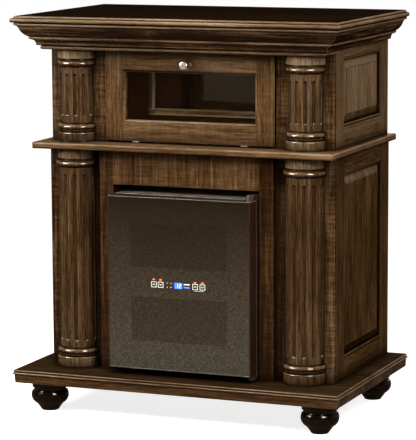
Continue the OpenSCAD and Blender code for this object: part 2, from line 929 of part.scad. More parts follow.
module rod_x(x0, x1, r) {
  translate([x0, 0, 0]) rotate([0, 90, 0]) cylinder(h = x1 - x0, r = r);
}

module door_frame() {
  half = hinge_len / 2 + 1;
  color(wood) difference() {
    block([-door_half, door_y, door_z0], [door_half, door_back_y, door_z1]);
    mitred_cutter(sight_half, sight_h2, door_mid_z, door_y, door_t) sticking_waste();
    glass_room(glass_lap, sticking_d, door_t + over);
    at_hinges() rod_x(-half, half, knuckle_r + 0.5);
  }
}

module door_glass() {
  color("#8f8a80") glass_room(glass_lap - glass_play, sticking_d, sticking_d + glass_t);
}

module door_glass_stops() {
  color(dark_wood) difference() {
    glass_room(glass_lap, sticking_d + glass_t, door_t);
    glass_room(0, sticking_d, door_t + over);
  }
}

// The knob's outline, turned about its axis: rose, neck and a long head with a domed face.
module door_knob() {
  rose_r = 9;
  neck_r = 6;
  edge_r = 2.5;
  back = knob_out - knob_head;
  color(metal) translate([0, door_y, knob_z]) rotate([90, 0, 0]) rotate_extrude() difference() {
    union() {
      square([rose_r, 2]);
      square([neck_r, back + over]);
      translate([0, back]) square([knob_r, knob_head]);
    }
    translate([knob_r, knob_out]) corner_waste(edge_r);
    translate([knob_r, back]) mirror([0, 1]) corner_waste(edge_r);
  }
}

// The outer knuckles, their leaf on the ledge and the pin.
module ledge_hinge_leaves() {
  half = hinge_len / 2;
  mid = hinge_len / 6;
  low = z_deck - hinge_z;
  color(metal) at_hinges() {
    for (x = [-half, mid]) {
      rod_x(x, x + half - mid, knuckle_r);
      block([x, 0, low], [x + half - mid, leaf_w, low + leaf_t]);
    }
    block([-half, knuckle_r + 2 * knuckle_gap, low], [half, leaf_w, low + leaf_t]);
    rod_x(-half, half, hinge_pin_r);
  }
}

// The middle knuckle and its leaf under the door.
module door_hinge_leaves() {
  half = hinge_len / 2;
  mid = hinge_len / 6 - knuckle_gap;
  high = door_z0 - hinge_z;
  color(metal) at_hinges() difference() {
    union() {
      rod_x(-mid, mid, knuckle_r);
      block([-mid, 0, high - leaf_t], [mid, leaf_w, high]);
      block([-half, knuckle_r + 2 * knuckle_gap, high - leaf_t], [half, leaf_w, high]);
    }
    rod_x(-mid - over, mid + over, hinge_pin_r + pin_play);
  }
}

module door_catch() {
  half = 18;
  drop = 14;
  y0 = door_back_y + 0.3;
  color(black) difference() {
    block([-half, y0, z_soffit - drop], [half, y0 + 15, z_soffit]);
    for (z = [4, 8]) block([3 - half, y0 - over, z_soffit - drop + z - 0.8],
      [half - 3, y0 + 1, z_soffit - drop + z + 0.8]);
  }
}

// Cooler case and inside

module at_zones() {
  for (side = [-1, 1]) translate([0, 0, cool_mid_z + side * zone_dz]) children();
}

// The passage of an aluminium block through the case's back.
module block_hole() {
  half = block_half + block_play;
  at_zones() block([-half, liner_back_y - over, -half], [half, cool_back_y + over, half]);
}

module cooler_case() {
  color(black) difference() {
    block([-cool_half, cool_y, cool_z0], [cool_half, cool_back_y, cool_z1]);
    block([-cav_half, cool_y - over, cool_z0 + cool_wall], [cav_half, cav_back_y, cool_z1 - cool_wall]);
    block_hole();
  }
}

function zone_floor(zone) =
  zone == 0 ? cool_z0 + cool_wall + liner_t : cool_mid_z + divider_t / 2;

// Places its children at each shelf, at the height of the shelf's cross bars.
module at_shelves() {
  for (zone = [0, 1], i = [0 : shelves - 1])
    translate([0, 0, zone_floor(zone) + 12 + i * zone_h / shelves]) children();
}

module cooler_liner() {
  low = -bar_r - shelf_play - runner_t;
  color("#2a2b2e") {
    difference() {
      block([-cav_half, cool_y, cool_z0 + cool_wall], [cav_half, cav_back_y, cool_z1 - cool_wall]);
      block([-liner_half, cool_y - over, cool_z0 + cool_wall + liner_t],
        [liner_half, liner_back_y, cool_z1 - cool_wall - liner_t]);
      block_hole();
    }
    at_shelves() both_sides() block([liner_half - runner_w, shelf_y0, low],
      [liner_half + liner_t / 2, shelf_y1, low + runner_t]);
  }
}

module cooler_divider() {
  color("#2a2b2e") block([-liner_half, cool_y + 2, cool_mid_z - divider_t / 2],
    [liner_half, liner_back_y, cool_mid_z + divider_t / 2]);
}

module cooler_shelves() {
  half = liner_half - 1;
  margin = 8;
  pitch = 2 * (half - margin) / (shelf_rods - 1);
  rise = bar_r + rod_r - 0.8;
  color(metal) at_shelves() {
    for (y = [shelf_y0 + 6, (shelf_y0 + shelf_y1) / 2, shelf_y1 - 6])
      translate([0, y, 0]) rod_x(-half, half, bar_r);
    for (i = [0 : shelf_rods - 1])
      translate([margin - half + i * pitch, shelf_y0, rise]) rotate([-90, 0, 0])
        cylinder(h = shelf_y1 - shelf_y0, r = rod_r);
  }
}

module cooler_cold_plates() {
  fin_t = 2;
  fins = 13;
  pitch = (2 * plate_half - fin_t) / (fins - 1);
  front = liner_back_y - plate_t;
  color(metal) at_zones() {
    block([-plate_half, front, -plate_h2], [plate_half, liner_back_y, plate_h2]);
    for (i = [0 : fins - 1]) translate([i * pitch - plate_half, 0, 0])
      block([0, front - fin_d, -plate_h2], [fin_t, front + over, plate_h2]);
    block([-block_half, liner_back_y - over, -block_half], [block_half, cool_back_y, block_half]);
  }
}

module cooler_heat_sinks() {
  half = sink_w / 2;
  fin_t = 1.8;
  fins = 17;
  pitch = (sink_w - fin_t) / (fins - 1);
  color(metal) at_zones() translate([0, cool_back_y, -half]) linear_extrude(sink_w) {
    translate([-half, 0]) square([sink_w, sink_base]);
    for (i = [0 : fins - 1]) translate([i * pitch - half, 0]) square([fin_t, sink_d]);
  }
}

module cooler_fan_frames() {
  half = fan_w / 2;
  hub = 19;
  strut_w = 5;
  screw = half - 5;
  color(black) at_zones() {
    along_y(fan_y, fan_y + fan_t) difference() {
      translate([-half, -half]) square(fan_w);
      circle(fan_bore);
      for (x = [-screw, screw], z = [-screw, screw]) translate([x, z]) circle(2.1);
    }
    along_y(fan_y + fan_t - spider_t, fan_y + fan_t) difference() {
      union() {
        circle(hub);
        for (a = [45, 135]) rotate(a) square([2 * fan_bore + 3, strut_w], center = true);
      }
      circle(shaft_r + pin_play);
    }
  }
}

// A rotor: hub, slanted blades, and the shaft that runs in the frame's bearing.
module fan_rotor(z) {
  hub = 17;
  chord = 17;
  blade_t = 1.6;
  y0 = 1.5;
  y1 = fan_t - spider_t - 0.5;
  color(black) translate([0, fan_y, z]) {
    translate([0, y0, 0]) rotate([-90, 0, 0]) cylinder(h = y1 - y0, r = hub);
    translate([0, y0 + over, 0]) rotate([-90, 0, 0]) cylinder(h = fan_t - y0 - over, r = shaft_r);
    for (i = [0 : blades - 1])
      rotate([0, i * 360 / blades, 0]) translate([0, (y0 + y1) / 2, 0]) rotate([0, 0, 38])
        block([-chord / 2, -blade_t / 2, hub - 2], [chord / 2, blade_t / 2, fan_bore - 3]);
  }
}

module fan_rotor_upper() fan_rotor(cool_mid_z + zone_dz);
module fan_rotor_lower() fan_rotor(cool_mid_z - zone_dz);

module cooler_rear_cover() {
  slots = 9;
  pitch = 9.5;
  slot_h = 4.5;
  z0 = cool_z0 + cover_end;
  z1 = cool_z1 - cover_end;
  inlet_half = inlet_w / 2 + block_play;
  inlet_h2 = inlet_h / 2 + block_play;
  color(black) difference() {
    block([-cover_half, cool_back_y, z0], [cover_half, cover_y, z1]);
    block([cover_t - cover_half, cool_back_y - over, z0 + cover_t],
      [cover_half - cover_t, cover_y - cover_t, z1 - cover_t]);
    at_zones() for (i = [0 : slots - 1]) translate([0, 0, (i - (slots - 1) / 2) * pitch]) {
      block([-fan_w / 2, cover_y - cover_t - over, -slot_h / 2], [fan_w / 2, cover_y + over, slot_h / 2]);
      both_sides() block([cover_half - cover_t - over, cool_back_y + 8, -slot_h / 2],
        [cover_half + over, cover_y - 10, slot_h / 2]);
    }
    block([inlet_x - inlet_half, cover_y - cover_t - over, inlet_z - inlet_h2],
      [inlet_x + inlet_half, cover_y + over, inlet_z + inlet_h2]);
  }
}

module power_inlet() {
  wall = 2;
  depth = 16;
  lip = 2.5;
  lip_t = 2;
  color(black) translate([inlet_x, cover_y, inlet_z]) {
    difference() {
      union() {
        block([-inlet_w / 2, -depth, -inlet_h / 2], [inlet_w / 2, over, inlet_h / 2]);
        block([-inlet_w / 2 - lip, 0, -inlet_h / 2 - lip], [inlet_w / 2 + lip, lip_t, inlet_h / 2 + lip]);
      }
      block([wall - inlet_w / 2, wall - depth, wall - inlet_h / 2],
        [inlet_w / 2 - wall, lip_t + over, inlet_h / 2 - wall]);
    }
    for (x = [-7, 0, 7]) translate([x, 0, x == 0 ? 3 : -2])
      block([-1, wall - depth - over, -2], [1, -2, 2]);
  }
}

module cooler_feet() {
  r = 19;
  seat_r = 16;
  seat_h = 5;
  inset = 42;
  color(black) for (x = [-1, 1], y = [cool_y + inset, cool_back_y - inset])
    translate([x * (cool_half - inset), y, z_floor]) rotate_extrude() difference() {
      square([r, cool_foot_h]);
      translate([r, 0]) mirror([0, 1]) corner_waste(3);
      translate([seat_r, cool_foot_h - seat_h]) square([r, seat_h + over]);
    }
}

// Cooler door

// A bracket's plan, from the rounded end round the pin back to the case.
module bracket_plan(back) {
  half = cool_pin_in;
  translate([cool_pin_x, cool_pin_y]) difference() {
    translate([-half, -half]) square([2 * half, half + back - cool_pin_y]);
    for (side = [0, 1]) mirror([side, 0]) translate([half, -half]) mirror([0, 1]) corner_waste(half - 1);
  }
}

module cooler_hinge_brackets() {
  color(black) for (top = [0, 1])
    translate([0, 0, cool_mid_z]) mirror([0, 0, 1 - top]) translate([0, 0, cool_h / 2]) {
      linear_extrude(bracket_t) bracket_plan(cool_y + bracket_plate);
      linear_extrude(bracket_cover) bracket_plan(cool_y + bracket_back);
      translate([cool_pin_x, cool_pin_y, -cool_pin_l]) cylinder(h = cool_pin_l + over, r = cool_pin_r);
    }
}

// A slab of the cooler door, inset from its edges, between two depths from its face.
module door_slab(inset, d0, d1) {
  block([inset - cool_half, cool_door_y0 + d0, cool_door_z0 + inset],
    [cool_half - inset, cool_door_y0 + d1, cool_door_z1 - inset]);
}

module cooler_door_frame() {
  bore_l = cool_pin_l + 1;
  color(black) difference() {
    door_slab(0, 0, cool_door_t);
    door_slab(cool_rim, -over, cool_glass_t);
    door_slab(cool_rail_w, -over, cool_door_t + over);
    door_slab(cool_rail_w - inner_lap, cool_door_t - inner_glass_t, cool_door_t + over);
    for (z = [cool_door_z0 - over, cool_door_z1 + over - bore_l])
      translate([cool_pin_x, cool_pin_y, z]) cylinder(h = bore_l, r = cool_pin_r + pin_play);
  }
}

module cooler_door_glass() {
  color(smoke) door_slab(cool_rim, 0, cool_glass_t);
}

module cooler_inner_glass() {
  color(smoke) door_slab(cool_rail_w - inner_lap + glass_play, cool_door_t - inner_glass_t, cool_door_t);
}

module cooler_door_gasket() {
  color("#26262a") difference() {
    door_slab(gasket_in, cool_door_t, cool_door_t + gasket_gap - gasket_play);
    door_slab(gasket_in + gasket_w, cool_door_t - over, cool_door_t + gasket_gap);
  }
}

module control_panel() {
  depth = 9;
  y0 = cool_door_y0 + cool_glass_t;
  color(black) difference() {
    block([-panel_w / 2, y0, cool_mid_z - panel_h / 2], [panel_w / 2, y0 + depth, cool_mid_z + panel_h / 2]);
    block([-30, y0 - over, cool_mid_z - 9], [30, y0 + 1.5, cool_mid_z + 9]);
  }
}

base_slab();
bun_feet();
foot_bolts();
lower_side_frame_left();
lower_side_frame_right();
lower_side_panel_left();
lower_side_panel_right();
upper_side_frame_left();
upper_side_frame_right();
upper_side_panel_left();
upper_side_panel_right();
lower_front_board_left();
lower_front_board_right();
upper_front_board_left();
upper_front_board_right();
lower_column_left();
lower_column_right();
upper_column_left();
upper_column_right();
bay_frame();
bay_partitions();
ledge();
back_panel();
compartment_sides();
compartment_back();
mirror_glass();
mirror_frame();
stemware_rack();
soffit_board();
crown_backer();
crown_front();
crown_left();
crown_right();
top_slab();
door_frame();
door_glass();
door_glass_stops();
door_knob();
door_hinge_leaves();
ledge_hinge_leaves();
door_catch();
cooler_case();
cooler_liner();
cooler_divider();
cooler_shelves();
cooler_cold_plates();
cooler_heat_sinks();
cooler_fan_frames();
fan_rotor_upper();
fan_rotor_lower();
cooler_rear_cover();
power_inlet();
cooler_feet();
cooler_hinge_brackets();
cooler_door_frame();
cooler_door_glass();
cooler_inner_glass();
cooler_door_gasket();
control_panel();
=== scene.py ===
import math

import bmesh
import bpy
from mathutils import Matrix, Quaternion, Vector


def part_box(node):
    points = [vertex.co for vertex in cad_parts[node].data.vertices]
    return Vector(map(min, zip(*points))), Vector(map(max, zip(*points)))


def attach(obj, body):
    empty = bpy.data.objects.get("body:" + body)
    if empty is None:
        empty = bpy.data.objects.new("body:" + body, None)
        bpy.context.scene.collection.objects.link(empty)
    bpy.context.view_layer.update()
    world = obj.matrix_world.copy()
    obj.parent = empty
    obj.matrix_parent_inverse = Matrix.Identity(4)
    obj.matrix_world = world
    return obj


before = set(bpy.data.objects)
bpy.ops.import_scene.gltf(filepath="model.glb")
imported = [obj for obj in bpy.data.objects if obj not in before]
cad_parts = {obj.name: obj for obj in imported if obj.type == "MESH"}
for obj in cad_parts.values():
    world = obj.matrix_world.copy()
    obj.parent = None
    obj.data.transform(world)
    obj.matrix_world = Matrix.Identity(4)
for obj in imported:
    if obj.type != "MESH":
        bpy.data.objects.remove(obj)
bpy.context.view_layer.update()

# Camera.
# A long lens, a little to the right of the cabinet and a little above its middle.
camera_azimuth = math.radians(22.27)
camera_height = math.radians(8.43)
camera_roll = math.radians(-0.29)
camera_aim = Vector((0.0577, -0.1730, 0.5882))
camera_distance = 7.0618
back = Vector((math.sin(camera_azimuth) * math.cos(camera_height),
               -math.cos(camera_azimuth) * math.cos(camera_height), math.sin(camera_height)))
lens = bpy.data.cameras.new("camera")
lens.sensor_width = 36
lens.lens = 198.04
lens.clip_end = 60
camera = bpy.data.objects.new("camera", lens)
camera.location = camera_aim + camera_distance * back
camera.rotation_mode = "QUATERNION"
camera.rotation_quaternion = (-back).to_track_quat("-Z", "Y") @ Quaternion((0, 0, 1), camera_roll)
bpy.context.scene.collection.objects.link(camera)
bpy.context.scene.camera = camera
bpy.context.scene.view_settings.view_transform = "Standard"


# Shader maths.
# A Value is one socket of a finish, and sums on it add Math nodes. A Finish is one material and
# its nodes. Both serve the floor here and every material below.
class Value:
    def __init__(self, finish, socket):
        self.finish = finish
        self.socket = socket

    def math(self, operation, first, second):
        return self.finish.node("ShaderNodeMath", {"operation": operation}, {0: first, 1: second})

    def __add__(self, other):
        return self.math("ADD", self, other)

    def __sub__(self, other):
        return self.math("SUBTRACT", self, other)

    def __rsub__(self, other):
        return self.math("SUBTRACT", other, self)

    def __mul__(self, other):
        return self.math("MULTIPLY", self, other)

    def __gt__(self, other):
        return self.math("GREATER_THAN", self, other)

    def __lt__(self, other):
        return self.math("LESS_THAN", self, other)

    def __abs__(self):
        return self.math("ABSOLUTE", self, 0.0)

    def limit(self):
        return self.finish.node("ShaderNodeClamp", {}, {0: self})

    __radd__ = __add__
    __rmul__ = __mul__


class Finish:
    def __init__(self, name, world=False, **constants):
        self.material = (bpy.data.worlds if world else bpy.data.materials).new(name)
        self.material.use_nodes = True
        self.tree = self.material.node_tree
        self.shader = self.tree.nodes["Background" if world else "Principled BSDF"]
        for socket, value in constants.items():
            self.shader.inputs[socket.replace("_", " ")].default_value = value
        self.place = self.node("ShaderNodeTexCoord", {}, {}, "Object")

    def node(self, kind, settings, sockets, output=0):
        made = self.tree.nodes.new(kind)
        for name, value in settings.items():
            if name == "stops":
                ramp = made.color_ramp
                while len(ramp.elements) < len(value):
                    ramp.elements.new(1.0)
                for element, (position, colour) in zip(ramp.elements, value):
                    element.position = position
                    element.color = (*colour, 1.0)
            else:
                setattr(made, name, value)
        for name, value in sockets.items():
            self.join(value, made.inputs[name])
        return Value(self, made.outputs[output])

    def join(self, value, socket):
        if isinstance(value, Value):
            self.tree.links.new(value.socket, socket)
        else:
            socket.default_value = value

    def feed(self, name, value):
        self.join(value, self.shader.inputs[name])

    def split(self, vector):
        first = self.node("ShaderNodeSeparateXYZ", {}, {0: vector})
        return [Value(self, socket) for socket in first.socket.node.outputs]

    def mix(self, first, second, share, blend="MIX"):
        settings = {"data_type": "RGBA", "blend_type": blend}
        pair = [value if isinstance(value, Value) else (*value, 1.0) for value in (first, second)]
        return self.node("ShaderNodeMix", settings, {0: share, 6: pair[0], 7: pair[1]}, 2)

    def noise(self, place, scale, shift=0.0, detail=2.0, roughness=0.5, distortion=0.0):
        moved = self.node("ShaderNodeMapping", {}, {
            "Vector": place, "Location": (shift, 1.7 * shift, 2.9 * shift), "Scale": scale})
        return self.node("ShaderNodeTexNoise", {}, {
            "Vector": moved, "Scale": 1.0, "Detail": detail, "Roughness": roughness,
            "Distortion": distortion})

    def ray(self, *kinds):
        path = self.tree.nodes.new("ShaderNodeLightPath")
        seen = Value(self, path.outputs[kinds[0]])
        for kind in kinds[1:]:
            seen = seen.math("MAXIMUM", seen, Value(self, path.outputs[kind]))
        return seen

    def seen_plainly(self):
        unmirrored = self.node("ShaderNodeLightPath", {}, {}, "Glossy Depth") < 0.5
        return unmirrored, self.ray("Is Camera Ray", "Is Transmission Ray") * unmirrored


# Studio.
# A pale floor that takes the shadow and a white surround, both dim and brown where lacquer and
# glass mirror them. Soft lamps stand in front, overhead and behind; the shine lamps only show
# as highlights.
floor_half = 16.0
floor_mesh = bmesh.new()
bmesh.ops.create_grid(floor_mesh, x_segments=1, y_segments=1, size=floor_half)
floor_data = bpy.data.meshes.new("floor")
floor_mesh.to_mesh(floor_data)
floor_mesh.free()
floor = bpy.data.objects.new("floor", floor_data)
bpy.context.scene.collection.objects.link(floor)

white = (1.0, 1.0, 1.0)
pale_paper = (0.78, 0.78, 0.78)
brown_paper = (0.036, 0.020, 0.010)
near_reach = 1.2
paper = Finish("floor_paper", Roughness=0.9, Specular_IOR_Level=0.1)
spot = paper.node("ShaderNodeNewGeometry", {}, {}, "Position")
reach = paper.node("ShaderNodeVectorMath", {"operation": "LENGTH"}, {0: spot}, 1)
far_off = ((reach - near_reach) * 0.8).limit()
unmirrored, plain = paper.seen_plainly()
mirrored = (0.12 - 0.106 * far_off) * (1.0 - plain) * (1.0 - paper.ray("Is Diffuse Ray"))
dim = (far_off + 0.92 * (1.0 - unmirrored)).limit()
paper.feed("Base Color", paper.mix(pale_paper, brown_paper, dim))
paper.feed("Emission Color", paper.mix((1.0, 0.62, 0.36), white, plain))
paper.feed("Emission Strength", (0.80 + 0.22 * far_off) * plain + mirrored)
floor_data.materials.append(paper.material)

surround = Finish("surround", world=True)
ahead = surround.split(surround.node("ShaderNodeTexCoord", {}, {}, "Generated"))[1]
backdrop = 0.020 + 0.75 * (ahead * 1.2 + 0.20).limit()
plain = surround.seen_plainly()[1]
on_wood = surround.ray("Is Diffuse Ray")
mirrored = (1.0 - plain) * (1.0 - on_wood)
surround.feed("Strength", plain + 0.22 * on_wood + backdrop * mirrored)
surround.feed("Color", surround.mix(white, (1.0, 0.66, 0.40), mirrored))
bpy.context.scene.world = surround.material


lamp_target = Vector((0.0, 0.0, 0.62))
warm_white = (1.0, 0.92, 0.82)


def softbox(name, azimuth, distance, height, width, tall, power, lights=True, shines=True):
    light = bpy.data.lights.new(name, "AREA")
    light.shape = "RECTANGLE"
    light.size = width
    light.size_y = tall
    light.energy = power
    lamp = bpy.data.objects.new(name, light)
    turn = math.radians(azimuth)
    lamp.location = (distance * math.sin(turn), -distance * math.cos(turn), height)
    aim = lamp_target - lamp.location
    lamp.rotation_mode = "QUATERNION"
    lamp.rotation_quaternion = aim.to_track_quat("-Z", "Y")
    if not lights:
        light.color = warm_white
    lamp.visible_diffuse = lights
    lamp.visible_glossy = shines
    bpy.context.scene.collection.objects.link(lamp)


softbox("softbox_left", -46, 3.0, 1.75, 0.34, 0.50, 62, shines=False)
softbox("softbox_right", 48, 3.0, 1.75, 0.34, 0.50, 50, shines=False)
softbox("softbox_over", 14, 2.3, 3.3, 1.20, 0.80, 105, shines=False)
softbox("softbox_behind", 180, 4.0, 0.95, 1.60, 1.20, 45)
softbox("shine_left", -49, 3.0, 1.80, 1.50, 1.00, 480, lights=False)
softbox("shine_right", 48, 3.0, 1.80, 1.20, 0.90, 330, lights=False)
softbox("shine_high", -31, 2.4, 3.40, 0.90, 0.50, 90, lights=False)


# Base slab.
# One thick board with a moulded edge at the front and sides. Its walnut is stained dark and
# lacquered; the finish below serves every wooden piece, with the grain laid along that piece.
ramp_walnut = (
    (0.00, (0.010, 0.0032, 0.0008)),
    (0.28, (0.034, 0.0140, 0.0044)),
    (0.52, (0.086, 0.0435, 0.0160)),
    (0.78, (0.155, 0.0930, 0.0450)),
    (1.00, (0.245, 0.1620, 0.0920)))
# Dark glaze for pores, grain dashes and joints, also used as painted shade in recesses.
glaze_and_shade_dark = (0.010, 0.0042, 0.0016)
shaded_top_colour = (0.005, 0.0019, 0.0007)
ebony_dark = (0.0020, 0.0007, 0.0003)
arris_highlight = (0.30, 0.215, 0.135)
edge_round = 0.0016
shade_reach = 0.04
quirk_reach = 0.009
joint_half = 0.0006


# The grain lies along one axis, and stiles turn it upright beyond a joint. Tone makes the stain lighter
# or darker and bands paint highlights and shade at given heights, figure to fines set the pattern's
# strength, and the rest is lacquer.
def walnut(name, along, seed, tone=0.0, stiles=None, stile_tone=0.0, top_shade=0.0, bands=(),
           up_light=0.10, blacked=0.0, hollow_shade=1.5, figure=1.0, ripple=0.0, rings=0.5, dashes=0.3,
           fines=0.80, coat=0.35, top_coat=0.3, haze=0.20):
    wood = Finish(name, Specular_IOR_Level=0.0, Coat_Roughness=haze, Coat_IOR=1.38)
    x, y, z = wood.split(wood.place)
    laid = {"X": (x, y, z), "Y": (y, z, x), "Z": (z, x, y)}

    def grain_along(axis):
        return wood.node("ShaderNodeCombineXYZ", {}, dict(enumerate(laid[axis])))

    grain = grain_along(along)
    if stiles:
        side, middle, half = stiles
        from_joint = abs(laid[side][0] - middle) - half
        across = from_joint > 0.0
        grain = wood.node("ShaderNodeMix", {"data_type": "VECTOR"},
                          {0: across, 4: grain, 5: grain_along("Z")}, 1)
        seam = abs(from_joint) < joint_half
        tone = tone + stile_tone * across
    cloud = wood.noise(grain, (2.5, 13.0, 13.0), seed, 2.0)
    streak = wood.noise(grain, (7.0, 150.0, 150.0), seed + 3.1, 5.0, 0.62, 0.4)
    fine = wood.noise(grain, (26.0, 480.0, 480.0), seed + 5.3, 3.0, 0.6)
    pores = wood.noise(grain, (55.0, 1500.0, 1500.0), seed + 7.7, 1.0)
    wavy = wood.node("ShaderNodeMapping", {}, {
        "Vector": grain, "Location": (seed, 0.3 * seed, 0.7 * seed), "Scale": (1.6, 17.0, 17.0)})
    ring = wood.node("ShaderNodeTexWave", {"wave_profile": "SIN", "bands_direction": "Y"}, {
        "Vector": wavy, "Scale": 1.0, "Distortion": 7.0, "Detail": 3.0, "Detail Scale": 1.1,
        "Detail Roughness": 0.6}, 1)
    true_face = wood.node("ShaderNodeNewGeometry", {}, {}, "True Normal")
    rise = wood.split(true_face)[2]
    on_top = rise > 0.9
    # Painted light and shade: faces turned down are darkened and faces turned up are lightened by
    # up_light.
    under = (rise * -2.5).limit()
    over = (rise * 2.0).limit() * (1.0 - on_top)
    depth = (0.48 + tone + figure * (cloud - 0.5) + 1.4 * figure * (streak - 0.5)
             + fines * (fine - 0.5) + 0.2 * rings * (ring - 0.5) - 0.40 * under + up_light * over)
    for low, high, shift in bands:
        depth = depth + shift * (z > low) * (z < high)
    if ripple:
        curl = wood.noise(grain, (120.0, 14.0, 14.0), seed + 9.9, 3.0, 0.6, 0.6)
        depth = depth + ripple * (curl - 0.5)
    colour = wood.node("ShaderNodeValToRGB", {"stops": ramp_walnut}, {0: depth})
    pore = (pores > 0.66) * 0.6
    colour = wood.mix(colour, glaze_and_shade_dark, pore)
    dash = wood.noise(grain, (34.0, 360.0, 360.0), seed + 11.3, 1.0)
    colour = wood.mix(colour, glaze_and_shade_dark, dashes * (6.0 * (dash - 0.57)).limit())
    if stiles:
        colour = wood.mix(colour, glaze_and_shade_dark, seam * 0.7)
    rounded = wood.node("ShaderNodeBevel", {"samples": 4}, {"Radius": edge_round})
    facing = wood.node("ShaderNodeVectorMath", {"operation": "DOT_PRODUCT"},
                       {0: rounded, 1: true_face}, 1)
    edge = ((1.0 - facing) * 3.0).limit()
    # Painted shade: the colour darkens towards the glaze in recesses and crevices, where the occlusion
    # finds shade.
    open_air = wood.node("ShaderNodeAmbientOcclusion", {"samples": 8}, {"Distance": shade_reach}, 1)
    colour = wood.mix(glaze_and_shade_dark, colour, (open_air * open_air * 1.25 - 0.08).limit())
    crevice = wood.node("ShaderNodeAmbientOcclusion", {"samples": 6}, {"Distance": quirk_reach}, 1)
    colour = wood.mix(colour, glaze_and_shade_dark, ((0.92 - crevice) * hollow_shade).limit())
    # Painted highlight: the arrises are lightened where the rounded normal leans off the true one.
    colour = wood.mix(colour, arris_highlight, edge * 0.55 * open_air)
    # Painted shade: faces turned up are darkened by top_shade.
    colour = wood.mix(colour, shaded_top_colour, on_top * top_shade)
    if blacked:
        colour = wood.mix(ebony_dark, colour, 1.0 - blacked)
    wood.feed("Base Color", colour)
    wood.feed("Coat Weight", coat - (coat - top_coat * coat) * on_top)
    wood.feed("Roughness", 0.42 + 0.25 * (fine - 0.5))
    relief = 0.5 * fine + 0.5 * streak - pore
    wood.feed("Normal", wood.node("ShaderNodeBump", {}, {
        "Strength": 0.22, "Distance": 0.0006, "Height": relief, "Normal": rounded}))
    return wood.material


def finish_node(name, material):
    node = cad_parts[name]
    if not node.material_slots:
        node.data.materials.append(material)
    for slot in node.material_slots:
        slot.material = material


slab_low, slab_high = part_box("base_slab")
moulded_edge = 0.0136
fascia_shade = (slab_low.z, slab_high.z - moulded_edge, -0.26)
# Painted shade: the fascia under the moulded edge is darker, and the top is darkened.
finish_node("base_slab", walnut("walnut_base_slab", "X", 1.0, tone=0.10, top_shade=0.76,
                                bands=(fascia_shade,), figure=0.7, dashes=0.4, top_coat=0.0))

# Bun feet.
# Four feet turned from solid wood and stained almost black, each held under the slab by a
# zinc-plated hanger bolt.
finish_node("bun_feet", walnut("ebonised_foot", "Z", 2.4, tone=-0.78, blacked=0.60, coat=0.50,
                               haze=0.13))


def metal(name, colour, roughness, stretch=(400.0, 400.0, 400.0)):
    wear = 0.10
    made = Finish(name, Metallic=1.0, Specular_IOR_Level=0.5)
    brushed = made.noise(made.place, stretch, 0.4, 3.0, 0.6)
    patches = made.noise(made.place, (40.0, 40.0, 40.0), 1.9, 2.0)
    dull = tuple(0.72 * part for part in colour)
    made.feed("Base Color", made.mix(colour, dull, (1.6 * patches - 0.4).limit()))
    made.feed("Roughness", roughness + wear * (brushed - 0.5) + wear * (patches - 0.5))
    made.feed("Normal", made.node("ShaderNodeBump", {}, {
        "Strength": 0.12, "Distance": 0.0003, "Height": brushed}))
    return made.material


zinc = metal("zinc_plate", (0.62, 0.63, 0.65), 0.34)
finish_node("foot_bolts", zinc)

# Sides of the carcass.
# Each side is a frame of two stiles and two rails with a raised panel held in its grooves. The
# grain runs up the stiles and panels and along the rails.
tongue = 0.009
# Painted light: the upper sides are toned lighter than the lower ones, as the lamps light the side more
# strongly higher up, and the panels' bevels are lightened or darkened by which way they face.
for place, seed, tone, panel_tone in (("lower", 3.3, -0.06, -0.03), ("upper", 4.1, 0.17, 0.29)):
    for side, turn in (("left", 0.0), ("right", 0.6)):
        low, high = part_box(f"{place}_side_panel_{side}")
        middle = (low.y + high.y) / 2
        half = (high.y - low.y) / 2 - tongue
        frame_wood = walnut(f"walnut_{place}_side_frame_{side}", "Y", seed + turn, tone=tone,
                            stiles=("Y", middle, half), figure=0.5, coat=0.04)
        panel_wood = walnut(f"walnut_{place}_side_panel_{side}", "Z", seed + turn + 1.3,
                            tone=panel_tone, up_light=0.7, figure=0.7, coat=0.04)
        finish_node(f"{place}_side_frame_{side}", frame_wood)
        finish_node(f"{place}_side_panel_{side}", panel_wood)

# Front boards.
# Upright boards that the half-columns stand against, from curly wood whose figure lies across
# the grain.
for place, seed, tone in (("lower_front_board_left", 5.2, -0.22), ("lower_front_board_right", 5.9, -0.04),
                          ("upper_front_board_left", 5.2, -0.07), ("upper_front_board_right", 5.9, -0.07)):
    finish_node(place, walnut(f"walnut_{place}", "Z", seed, tone=tone, ripple=1.0))

# Bay frame and partitions.
# Two stiles and a deep header rail, veneered with upright grain, frame the cooler's bay. The
# partitions behind close its sides.
bay_stile = 0.042
bay_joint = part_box("bay_frame")[1].x - bay_stile
# Painted shade: the stiles are toned darker than the header.
finish_node("bay_frame", walnut("walnut_bay_frame", "Z", 6.2, tone=-0.01, stiles=("X", 0.0, bay_joint),
                                stile_tone=-0.22, figure=0.65, ripple=0.55, dashes=0.15, fines=0.35))
finish_node("bay_partitions", walnut("inner_partitions", "Z", 6.9, tone=-0.16, coat=0.2))

# Half-columns.
# Each is turned with its rings, drum and cap, fluted, split down the middle and glued to the
# board behind it.
quirk = 0.004
neck = 0.0065
ring_r = 0.009
ring_highlight = 0.10
cap_tone = 0.40
groove_shade = -0.42
